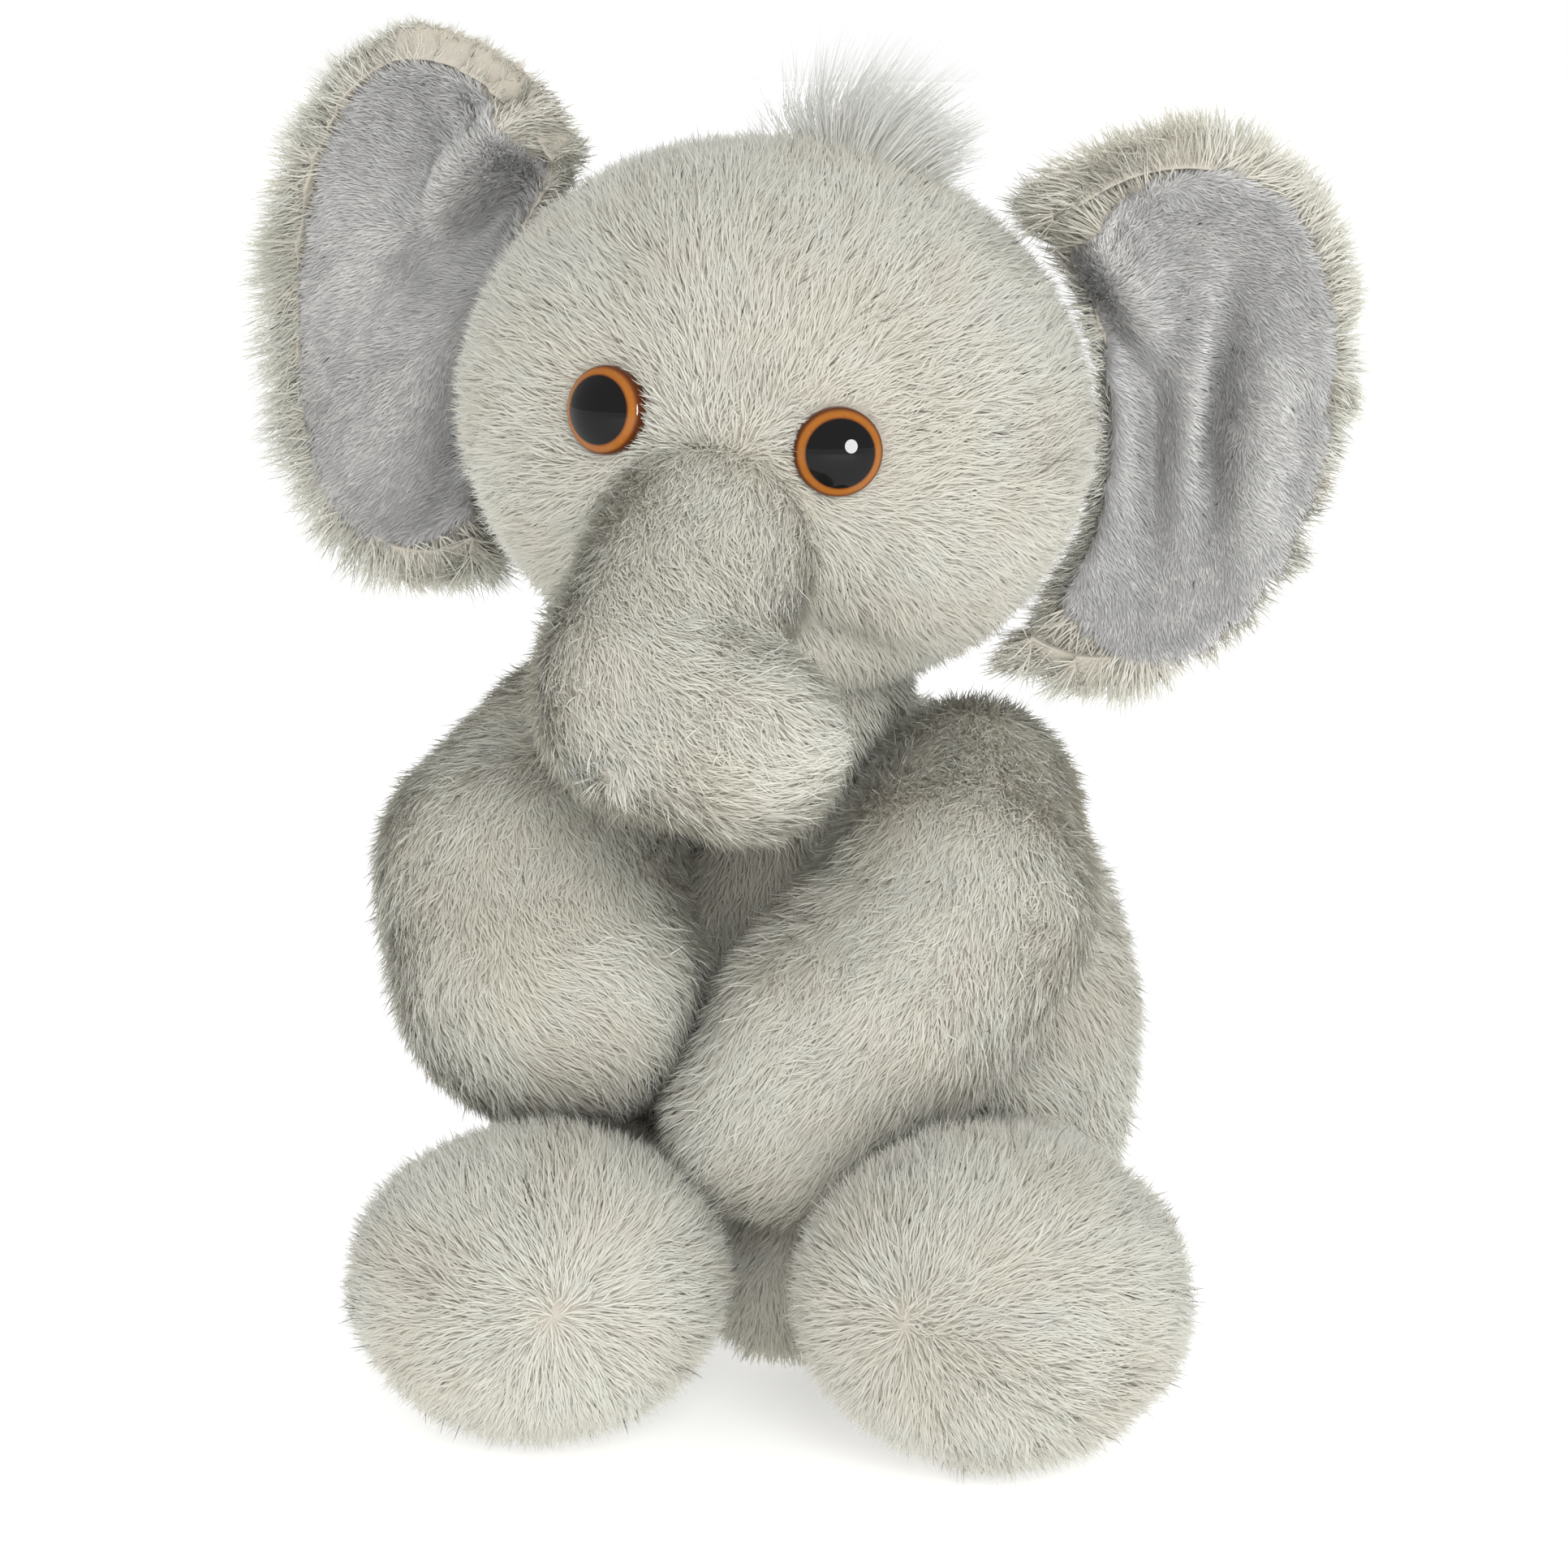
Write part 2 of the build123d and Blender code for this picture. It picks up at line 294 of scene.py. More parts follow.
def satin_nap(colours):
    """Short shiny nap from its deep root colour to its tips. Painted sheen makes the tips paler in random patches.
    The tint, which holds the folds' painted light and painted shade, makes them paler or darker.
    """
    finish = Finish("satin_nap", Specular_IOR_Level=0.42, Sheen_Weight=0.3, Sheen_Roughness=0.35)
    along = finish.attribute("along")
    tint = finish.attribute("tint")
    # painted sheen: random patches where the tips are mixed towards the colour of nap that catches the light
    painted_sheen = finish.ramp(finish.noise(0.014), 0.44, 0.66)
    tip = finish.mix(painted_sheen * 0.35, colours.satin, colours.satin_pale)
    # the tint (random per strand, plus the folds' painted light and painted shade) also mixes the tips towards the
    # lit colour
    tip = finish.mix(tint * 0.8, tip, colours.satin_pale)
    pale = along ** 0.6 * (0.5 + tint * 0.5)
    finish.feed("Base Color", finish.mix(pale, colours.satin_root, tip))
    finish.feed("Roughness", 0.58 - along * 0.14)
    return finish.material


def satin_cloth(colours):
    """The lining's cloth under its nap."""
    finish = Finish("satin_cloth", Specular_IOR_Level=0.3, Sheen_Weight=0.2)
    fine = finish.noise(0.0009, detail=3.0)
    wide = finish.ramp(finish.noise(0.014), 0.4, 0.7)
    pale = fine * 0.4 + wide * 0.3
    finish.feed("Base Color", finish.mix(pale, colours.satin_root, colours.satin))
    finish.feed("Roughness", 0.7 - fine * 0.15)
    finish.bump(fine, 0.4, 0.0004)
    return finish.material


def long_hair(colours):
    """Fine loose hair, paler than the pile."""
    finish = Finish("long_hair", Specular_IOR_Level=0.4, Sheen_Weight=0.2)
    along = finish.attribute("along")
    tint = finish.attribute("tint")
    finish.feed("Base Color", finish.mix(along * 0.6 + tint * 0.4, colours.tip, colours.hair))
    finish.feed("Roughness", 0.55 - tint * 0.15)
    return finish.material


def eye_plastic(colours):
    """A black pupil in an amber ring with dark edges, under clear polished plastic."""
    finish = Finish("eye_plastic", Coat_Roughness=0.02, Coat_IOR=1.33, Specular_IOR_Level=0.0)
    out = finish.attribute("out")
    streak = finish.noise(0.0008, detail=2.0)
    ring = finish.ramp(out, 0.76, 0.84) * (1 - finish.ramp(out, 0.90, 0.985))
    amber = finish.mix(ring * (0.72 + streak * 0.4), colours.amber_deep, colours.amber)
    finish.feed("Base Color", finish.mix(finish.ramp(out, 0.765, 0.785), colours.pupil, amber))
    finish.feed("Roughness", 0.06 + out * 0.12)
    finish.feed("Coat Weight", 1.0 - finish.ramp(out, 0.97, 1.0) * 0.4)
    return finish.material


def moulded_plastic(colours):
    """The washers' plain plastic with a fine grain."""
    finish = Finish("moulded_plastic", Specular_IOR_Level=0.4)
    grain = finish.noise(0.0006, detail=3.0)
    finish.feed("Base Color", finish.mix(grain, colours.moulded, colours.moulded_pale))
    finish.feed("Roughness", 0.45 + grain * 0.15)
    finish.bump(grain, 0.2, 0.0002)
    return finish.material


def pale_floor(colours):
    """A white floor that glows a little, so that only the soft shadow shows on it."""
    finish = Finish("pale_floor", Roughness=0.9, Specular_IOR_Level=0.1,
                    Emission_Color=(1, 1, 1, 1), Emission_Strength=FLOOR_GLOW)
    grain = finish.noise(0.05)
    finish.feed("Base Color", finish.mix(grain * 0.1, colours.floor, (1.0, 1.0, 1.0)))
    return finish.material


MADE = {}


def shared(make):
    """A material that is made once and used by every piece that asks for it."""
    if make not in MADE:
        MADE[make] = make(bpy.context.scene.plush_colours)
    return MADE[make]


# ---------------------------------------------------------------- places from the frame
def in_box(node, across, deep, high):
    """A point at these shares of the way through a node's box."""
    low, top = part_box(node)
    parts = (across, deep, high)
    return np.array([low[i] + (top[i] - low[i]) * part for i, part in enumerate(parts)])


def centre(node):
    return in_box(node, 0.5, 0.5, 0.5)


def pivot(joint):
    return np.array(JOINTS[joint]["pos_m"], float)


def unit(vectors):
    """The same directions with a length of one."""
    vectors = np.asarray(vectors, float)
    size = np.linalg.norm(vectors, axis=-1, keepdims=True)
    return vectors / np.maximum(size, 1e-12)


# ---------------------------------------------------------------- steady noise
def scramble(cells, seed):
    """Three steady random numbers from -1 to 1 for each whole cell."""
    mixed = cells.astype(np.int64) @ np.array([73856093, 19349663, 83492791]) + seed * 7919
    rows = []
    for turn in range(3):
        bits = (mixed + turn * 40503) * 2654435761 & 0xFFFFFFFF
        bits = (bits ^ bits >> 15) * 2246822519 & 0xFFFFFFFF
        bits = (bits ^ bits >> 13) * 3266489917 & 0xFFFFFFFF
        rows.append((bits ^ bits >> 16) / 0x7FFFFFFF - 1)
    return np.stack(rows, axis=-1)


def drift(points, size, seed):
    """A smooth random vector at each point, with features of that size."""
    at = points / size
    cell = np.floor(at)
    part = at - cell
    part = part * part * (3 - 2 * part)
    total = np.zeros_like(points)
    for corner in product((0, 1), repeat=3):
        weight = np.prod(np.where(corner, part, 1 - part), axis=1, keepdims=True)
        total += weight * scramble(cell + corner, seed)
    return total


def tuft_middles(points, size, seed):
    """The nearest tuft's middle, one tuft strewn in each cell of a lattice."""
    cell = np.floor(points / size)
    nearest = np.full(len(points), np.inf)
    middles = np.zeros_like(points)
    for corner in product((-1, 0, 1), repeat=3):
        near = cell + corner
        middle = (near + 0.5 + 0.5 * scramble(near, seed)) * size
        gap = np.linalg.norm(points - middle, axis=1)
        closer = gap < nearest
        nearest = np.where(closer, gap, nearest)
        middles[closer] = middle[closer]
    return middles


# ---------------------------------------------------------------- meshes
def new_object(name, mesh):
    """Links a new object to the scene."""
    obj = bpy.data.objects.new(name, mesh)
    bpy.context.scene.collection.objects.link(obj)
    return obj


def read(items, field, kind=np.float32, width=3):
    """One field of many mesh items, as rows."""
    values = np.zeros(len(items) * width, kind)
    items.foreach_get(field, values)
    return values.reshape(-1, width)


def write_points(mesh, points):
    mesh.vertices.foreach_set("co", points.astype(np.float32).ravel())
    mesh.update()


def mesh_from(name, points, faces):
    """A smooth mesh from points and a list of faces."""
    mesh = bpy.data.meshes.new(name)
    mesh.from_pydata([tuple(p) for p in points], [], [tuple(f) for f in faces])
    mesh.polygons.foreach_set("use_smooth", np.ones(len(mesh.polygons), bool))
    mesh.update()
    return mesh


def store(mesh, name, values):
    """Keeps one number for each point, for the materials to read."""
    field = mesh.attributes.new(name, "FLOAT", "POINT")
    field.data.foreach_set("value", values.astype(np.float32))


def settle(obj):
    """Applies all of an object's modifiers."""
    graph = bpy.context.evaluated_depsgraph_get()
    mesh = bpy.data.meshes.new_from_object(obj.evaluated_get(graph))
    old = obj.data
    obj.modifiers.clear()
    obj.data = mesh
    bpy.data.meshes.remove(old)


def joined_nodes(name, nodes):
    """One object with the solids of several nodes."""
    points, faces, start = [], [], 0
    for node in nodes:
        mesh = frame["nodes"][node].data
        points.append(read(mesh.vertices, "co"))
        faces += [[start + i for i in face.vertices] for face in mesh.polygons]
        start += len(mesh.vertices)
    return new_object(name, mesh_from(name, np.concatenate(points), faces))


def keep_outer_shell(mesh):
    """Deletes everything but the largest connected part, such as the gaps between layers."""
    count = len(mesh.vertices)
    edges = read(mesh.edges, "vertices", np.int32, 2)
    label = np.arange(count)
    while True:
        low = np.minimum(label[edges[:, 0]], label[edges[:, 1]])
        fresh = label.copy()
        np.minimum.at(fresh, edges[:, 0], low)
        np.minimum.at(fresh, edges[:, 1], low)
        fresh = fresh[fresh]
        if (fresh == label).all():
            break
        label = fresh
    shells, sizes = np.unique(label, return_counts=True)
    keep = label == shells[sizes.argmax()]
    place = np.cumsum(keep) - 1
    points = read(mesh.vertices, "co")[keep]
    faces = [[place[i] for i in face.vertices] for face in mesh.polygons if keep[face.vertices[0]]]
    return mesh_from(mesh.name, points, faces)


def swollen(obj, most):
    """Fills the skin with air for a moment, so that its faces crown and its seams stay in."""
    rest, normals = read(obj.data.vertices, "co"), read(obj.data.vertices, "normal")
    cloth = obj.modifiers.new("swell", "CLOTH")
    cloth.settings.quality = 4
    cloth.settings.use_pressure = True
    cloth.settings.uniform_pressure_force = SWELL_PRESSURE
    cloth.settings.effector_weights.gravity = 0.0
    cloth.collision_settings.use_collision = False
    scene = bpy.context.scene
    for number in range(1, SWELL_FRAMES + 1):
        scene.frame_set(number)
    moved = obj.evaluated_get(bpy.context.evaluated_depsgraph_get()).data
    change = read(moved.vertices, "co") - rest
    obj.modifiers.clear()
    scene.frame_set(1)
    size = np.linalg.norm(change, axis=1, keepdims=True)
    change = change * np.minimum(1.0, most / np.maximum(size, 1e-9))
    evened = change - normals * (change * normals).sum(axis=1).mean()
    write_points(obj.data, rest + evened)


def hull_of(mesh):
    """The taut form round a mesh, which closes the sockets cut into it."""
    form = bmesh.new()
    form.from_mesh(mesh)
    made = bmesh.ops.convex_hull(form, input=form.verts)
    outer = set(made["geom"])
    bmesh.ops.delete(form, geom=[face for face in form.faces if face not in outer], context="FACES")
    form.to_mesh(mesh)
    form.free()


def make_skin(name, nodes, sizes, grain=None, rounds=5, draw_in=None, swell=None, sculpt=None,
              taut=False):
    """A closed skin inside the given solids, remeshed, smoothed, drawn in and swollen."""
    obj = joined_nodes(name, nodes)
    if taut:
        hull_of(obj.data)
    remesh = obj.modifiers.new("remesh", "REMESH")
    remesh.mode = "VOXEL"
    remesh.voxel_size = grain or sizes.grain
    settle(obj)
    obj.data = keep_outer_shell(obj.data)
    for _ in range(rounds):
        for factor in SMOOTH_PAIR:
            soften = obj.modifiers.new("soften", "SMOOTH")
            soften.factor = factor
    settle(obj)
    swell = sizes.swell if swell is None else swell
    draw_in = sizes.draw_in if draw_in is None else draw_in
    points, normals = read(obj.data.vertices, "co"), read(obj.data.vertices, "normal")
    if callable(draw_in):
        draw_in = draw_in(points, normals)[:, None]
    write_points(obj.data, points - normals * draw_in)
    if swell:
        swollen(obj, swell)
    if sculpt:
        points, normals = read(obj.data.vertices, "co"), read(obj.data.vertices, "normal")
        write_points(obj.data, sculpt(points, normals))
    finer = obj.modifiers.new("finer", "SUBSURF")
    finer.levels = finer.render_levels = 1
    settle(obj)
    obj.data.polygons.foreach_set("use_smooth", np.ones(len(obj.data.polygons), bool))
    obj.data.name = name
    return obj


def finish_piece(obj, body, material):
    """Gives a piece its material and the body that it rides on."""
    obj.data.materials.clear()
    obj.data.materials.append(material)
    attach(obj, body)
    return obj


def body_nodes(body, *words):
    """The nodes of a body whose names hold one of the words."""
    nodes = frame["record"]["behaviour"]["bodies"][body]
    return [node for node in nodes if any(word in node for word in words)]


# ---------------------------------------------------------------- the pile
class Ground:
    """A skin's points, normals and triangles, for planting strands on."""

    def __init__(self, obj):
        mesh = obj.data
        mesh.calc_loop_triangles()
        self.points = read(mesh.vertices, "co").astype(float)
        self.normals = read(mesh.vertices, "normal").astype(float)
        self.triangles = read(mesh.loop_triangles, "vertices", np.int32)
        corners = self.points[self.triangles]
        cross = np.cross(corners[:, 1] - corners[:, 0], corners[:, 2] - corners[:, 0])
        self.areas = np.linalg.norm(cross, axis=1) / 2
        self.tree = BVHTree.FromPolygons(self.points.tolist(), self.triangles.tolist())

    def plant(self, density, seed):
        """Roots and normals, evenly strewn, with this many on a square centimetre."""
        draw = np.random.default_rng(seed)
        count = min(int(density * self.areas.sum() * 1e4), MOST_STRANDS)
        share_of = self.areas / self.areas.sum()
        ends = np.cumsum(share_of)
        picks = (np.arange(count) + draw.random(count)) / count
        chosen = self.triangles[np.minimum(np.searchsorted(ends, picks), len(ends) - 1)]
        first, second = draw.random((2, count))
        over = first + second > 1
        first, second = np.where(over, 1 - first, first), np.where(over, 1 - second, second)
        weights = np.stack([1 - first - second, first, second], axis=1)[:, :, None]
        roots = (self.points[chosen] * weights).sum(axis=1)
        return roots, unit((self.normals[chosen] * weights).sum(axis=1))

    def depth(self, points):
        """How far each point lies below this skin; negative outside it."""
        depths = np.full(len(points), -1.0)
        low, high = self.points.min(axis=0), self.points.max(axis=0)
        near = np.flatnonzero(((points > low) & (points < high)).all(axis=1))
        for i in near:
            place, normal, _, gap = self.tree.find_nearest(points[i])
            depths[i] = gap if (Vector(points[i]) - place).dot(normal) < 0 else -gap
        return depths


GROUNDS = {}


def away_from(point):
    """Combs the pile away from a point."""
    return lambda roots, normals: unit(roots - point)


def downwards(roots, normals):
    """Combs the pile straight down."""
    return np.broadcast_to((0.0, 0.0, -1.0), roots.shape)


def along_line(line):
    """Combs the pile along a line of points, from its first to its last."""
    line = np.asarray(line, float)
    runs = line[1:] - line[:-1]

    def comb(roots, normals):
        total = np.zeros_like(roots)
        for start, run in zip(line[:-1], runs):
            part = np.clip((roots - start) @ run / (run @ run), 0, 1)[:, None]
            gap = np.linalg.norm(roots - start - part * run, axis=1, keepdims=True)
            total += unit(run) / gap ** 4
        return unit(total)
    return comb


def strands_mesh(name, roots, directions, bends, facing, lengths, widths, tints, normals):
    """Flat tapered strands of five points each, with soft normals and a cell of the bake layer."""
    count = len(roots)
    across = unit(np.cross(directions, facing)) * widths[:, None] / 2
    middles = roots + directions * lengths[:, None] * 0.5
    tips = middles + bends * lengths[:, None] * 0.5
    waist = across * STRAND_WAIST
    points = np.stack([roots - across, roots + across, middles - waist, middles + waist, tips],
                      axis=1)
    mesh = bpy.data.meshes.new(name)
    mesh.vertices.add(count * 5)
    mesh.vertices.foreach_set("co", points.astype(np.float32).ravel())
    corners = np.arange(count)[:, None] * 5 + np.array([0, 1, 3, 2, 2, 3, 4])
    mesh.loops.add(count * 7)
    mesh.loops.foreach_set("vertex_index", corners.astype(np.int32).ravel())
    starts = np.arange(count)[:, None] * 7 + np.array([0, 4])
    mesh.polygons.add(count * 2)
    mesh.polygons.foreach_set("loop_start", starts.astype(np.int32).ravel())
    mesh.update(calc_edges=True)
    mesh.polygons.foreach_set("use_smooth", np.ones(count * 2, bool))
    side = int(np.ceil(sqrt(count)))
    column, row = np.arange(count) % side, np.arange(count) // side
    inner = np.array([(0.1, 0.1), (0.9, 0.1), (0.9, 0.5), (0.1, 0.5),
                      (0.1, 0.5), (0.9, 0.5), (0.5, 0.9)])
    cells = (np.stack([column, row], axis=1)[:, None, :] + inner) / side
    layer = mesh.uv_layers.new(name=BAKE_LAYER)
    layer.uv.foreach_set("vector", cells.astype(np.float32).ravel())
    store(mesh, "along", np.tile(np.array([0, 0, 0.5, 0.5, 1]), count))
    store(mesh, "tint", np.repeat(tints, 5))
    soft = mesh.attributes.new("custom_normal", "FLOAT_VECTOR", "POINT")
    soft.data.foreach_set("vector", np.repeat(normals, 5, axis=0).astype(np.float32).ravel())
    mesh.update()
    return mesh


def grow(name, ground, comb, density, reach, blade, seed, lift=0.46, gather=0.34, tuft=0.0052,
         keep=None, trim=None, paler=None, hidden_by=(), wild=0.18):
    """A mesh of strands on a skin.

    comb gives their lean, keep which roots stay, trim a share of the length, paler what is added
    to the tint (on the ears' nap, the folds' painted light and painted shade), and hidden_by the skins
    deep inside which no strand is needed.  lift is how steeply they stand, gather how far the tips
    meet in tufts, and wild how much they differ.
    """
    roots, normals = ground.plant(density, seed)
    stays = np.ones(len(roots), bool)
    if keep is not None:
        stays &= keep(roots, normals)
    for other in hidden_by:
        stays &= GROUNDS[other].depth(roots) < HIDDEN_DEPTH
    roots, normals = roots[stays], normals[stays]
    order = np.lexsort(tuple(np.floor(roots[:, i] / (8 * MM)) for i in range(3)))
    roots, normals = roots[order], normals[order]
    draw = np.random.default_rng(seed + 1)
    lean = comb(roots, normals)
    lean = lean + 0.55 * drift(roots, 14 * MM, seed) + 0.30 * drift(roots, 5 * MM, seed + 5)
    lean = lean - normals * (lean * normals).sum(axis=1, keepdims=True)
    lean = unit(lean) * np.clip(np.linalg.norm(lean, axis=1, keepdims=True), 0.75, 1.1)
    rough = draw.normal(0, wild, roots.shape)
    directions = unit(normals * lift + lean * (1 - lift * 0.35) * 0.8 + rough)
    below = np.minimum((directions * normals).sum(axis=1) - 0.12, 0)
    directions = unit(directions - normals * below[:, None])
    uneven = 1 + 0.10 * drift(roots, 9 * MM, seed + 9)[:, 0]
    share_of = draw.uniform(0.72, 1.08, len(roots)) * uneven
    lengths = reach * share_of * (trim(roots) if trim else 1.0)
    middles = tuft_middles(roots, tuft, seed + 3)
    pull = middles - roots
    pull -= normals * (pull * normals).sum(axis=1, keepdims=True)
    bends = unit(directions + unit(lean) * 0.25 + pull / reach * 2 * gather)
    facing = unit(normals + draw.normal(0, 0.28, roots.shape))
    tuft_tint = scramble(np.round(middles / (0.1 * MM)), seed + 4)[:, 0]
    tints = 0.5 + 0.2 * tuft_tint + draw.normal(0, 0.2, len(roots))
    # paler adds painted light and painted shade to the tint, as from the folds of the ears' lining
    tints = np.clip(tints + (paler(roots) if paler else 0.0), 0, 1)
    widths = blade * draw.uniform(0.7, 1.25, len(roots))
    level = unit(facing - directions * (facing * directions).sum(axis=1, keepdims=True))
    soft = unit(normals + level * 0.3 + draw.normal(0, 0.12, roots.shape))
    return strands_mesh(name, roots, directions, bends, facing, lengths, widths, tints, soft)


def plush_piece(name, body, ground, comb, sizes, seed, **options):
    """The pile of one body, as its own piece."""
    options.setdefault("reach", sizes.pile)
    mesh = grow(name, ground, comb, sizes.density, blade=sizes.blade, seed=seed,
                gather=sizes.gather, tuft=sizes.tuft, **options)
    return finish_piece(new_object(name, mesh), body, shared(plush_pile))


def stuffed_part(body, sizes, fill=0.8, words=SOFT, **options):
    """The skin of one stuffed body, which stands for its cloth and its stuffing."""
    nodes = body_nodes(body, *words)
    obj = make_skin(f"{body}_skin", nodes, sizes, **options)
    finish_piece(obj, body, shared(plush_backing))
    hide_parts(*nodes)
    GROUNDS[body] = Ground(obj)
    return obj


# ---------------------------------------------------------------- the eyes' places
def eye_frame(side):
    """The middle of an eye's back and the way it looks."""
    iris = centre(f"{side}_eye_iris")
    looks = unit(iris - centre(f"{side}_eye_washer"))
    return iris + looks * 0.7 * MM, looks


def near_eye(points, low, high):
    """From 0 within low of an eye's axis to 1 beyond high."""
    result = np.ones(len(points))
    for side in SIDES:
        middle, looks = eye_frame(side)
        away = points - middle
        away -= (away @ looks)[:, None] * looks
        past = (np.linalg.norm(away, axis=1) - low) / (high - low)
        result = np.minimum(result, np.clip(past, 0, 1))
    return result


# ---------------------------------------------------------------- operators
class ELEPHANT_OT_stage(Operator):
    """Makes the floor, the soft lights and the camera"""
    bl_idname = "elephant.stage"
    bl_label = "Stage"

    def execute(self, context):
        scene, stage = context.scene, context.scene.stage_sizes
        scene.view_settings.view_transform = "Standard"
        world = bpy.data.worlds.new("surroundings")
        scene.world = world
        world.use_nodes = True
        tree = world.node_tree
        seen, strength = tree.nodes.new("ShaderNodeLightPath"), tree.nodes.new("ShaderNodeMapRange")
        tree.links.new(seen.outputs["Is Camera Ray"], strength.inputs["Value"])
        strength.inputs["To Min"].default_value = stage.sky
        tree.links.new(strength.outputs["Result"], tree.nodes["Background"].inputs["Strength"])
        tree.nodes["Background"].inputs["Color"].default_value = (1, 1, 1, 1)
        low, high = CAD_BOX
        across, deep = [(low[i] + high[i]) / 2 + LOOK_SHIFT[i] for i in (0, 1)]
        target = Vector((across, deep, stage.look_height))
        corners = [(-1, -1, 0), (1, -1, 0), (1, 1, 0), (-1, 1, 0)]
        floor = new_object("floor", mesh_from("floor", np.array(corners) * FLOOR_HALF,
                                              [(0, 1, 2, 3)]))
        floor.location.z = -FLOOR_DROP
        floor.data.materials.append(shared(pale_floor))
        key = self.lamp("key_light", stage.key, KEY_ACROSS, KEY_AT, target)
        key.visible_glossy = False
        catch = self.lamp("catch_light", stage.catch, CATCH_ACROSS, CATCH_AT, target)
        catch.visible_diffuse = False
        camera = new_object("camera", bpy.data.cameras.new("camera"))
        camera.data.lens = stage.focal
        camera.data.sensor_width = 36.0
        level = cos(stage.elevation)
        out = Vector((sin(stage.azimuth) * level, -cos(stage.azimuth) * level,
                      sin(stage.elevation)))
        camera.location = target + out * stage.distance
        camera.rotation_euler = out.to_track_quat("Z", "Y").to_euler()
        scene.camera = camera
        return {"FINISHED"}

    def lamp(self, name, power, across, offset, target):
        """A round lamp that faces the toy."""
        light = bpy.data.lights.new(name, "AREA")
        light.shape = "DISK"
        light.size = across
        light.energy = power
        obj = new_object(name, light)
        obj.location = target + Vector(offset)
        obj.rotation_euler = Vector(offset).to_track_quat("Z", "Y").to_euler()
        return obj


class ELEPHANT_OT_body(Operator):
    """Makes the skins of the torso, arms, legs and tail, and the pile on them"""
    bl_idname = "elephant.body"
    bl_label = "Torso, arms, legs and tail"

    def execute(self, context):
        sizes = context.scene.plush_sizes
        stuffed_part("torso", sizes, fill=0.85)
        for side in SIDES:
            stuffed_part(f"{side}_arm", sizes, draw_in=0.8 * MM, sculpt=self.arm_inwards(side))
            stuffed_part(f"{side}_leg", sizes, fill=0.75)
        stuffed_part("tail", sizes, grain=1.5 * MM, rounds=2, draw_in=2.2 * MM, swell=0.0,
                     words=("cover", "tuft"))
        limbs = [f"{side}_{limb}" for side in SIDES for limb in ("arm", "leg")]
        plush_piece("torso_pile", "torso", GROUNDS["torso"], downwards, sizes, 11, hidden_by=limbs,
                    keep=lambda roots, normals: roots[:, 2] > 2.5 * MM)
        for number, (side, sign) in enumerate(SIDES.items()):
            arm = f"{side}_arm"
            shoulder = pivot(f"{side}_arm_lift")
            elbow = in_box(f"{arm}_outer_panel", 0.5, 0.35, 0.45)
            paw = in_box(f"{arm}_inner_panel", 0.15 if side == "left" else 0.8, 0.2, 0.0)
            plush_piece(f"{arm}_pile", arm, GROUNDS[arm], along_line([shoulder, elbow, paw]), sizes,
                        21 + number, hidden_by=["torso"], lift=0.30)
            leg = f"{side}_leg"
            whorl = in_box(f"{side}_foot_front_panel", 0.28 if side == "left" else 0.60, 0.08, 0.54)
            plush_piece(f"{leg}_pile", leg, GROUNDS[leg], away_from(whorl), sizes, 31 + number,
                        hidden_by=["torso"], keep=lambda roots, normals: roots[:, 2] > 1.5 * MM)
        self.tail(sizes)
        return {"FINISHED"}

    def arm_inwards(self, side):
        """Lets the forearm rest against the other one."""
        inwards = np.array([-SIDES[side], 0, 0])
        most = {"left": 10.0 * MM, "right": 3.5 * MM}[side]

        def sculpt(points, normals):
            facing = np.clip(normals @ inwards * 1.5, 0, 1)
            low = np.clip((115 * MM - points[:, 2]) / (22 * MM), 0, 1)
            return points + inwards * (most * facing * low)[:, None]
        return sculpt

    def tail(self, sizes):
        """The tail's short pile, and the hair at its end."""
        root, tuft = pivot("tail_lift"), centre("tail_tuft")
        comb = along_line([root, centre("tail_cover"), tuft])
        plush_piece("tail_pile", "tail", GROUNDS["tail"], comb, sizes, 41, reach=5 * MM, lift=0.3,
                    keep=lambda roots, normals: roots[:, 2] > tuft[2])
        mesh = grow("tail_hair", GROUNDS["tail"], comb, sizes.density, 11 * MM, sizes.blade, 43,
                    lift=0.2, keep=lambda roots, normals: roots[:, 2] < tuft[2] + 9 * MM)
        finish_piece(new_object("tail_hair", mesh), "tail", shared(long_hair))


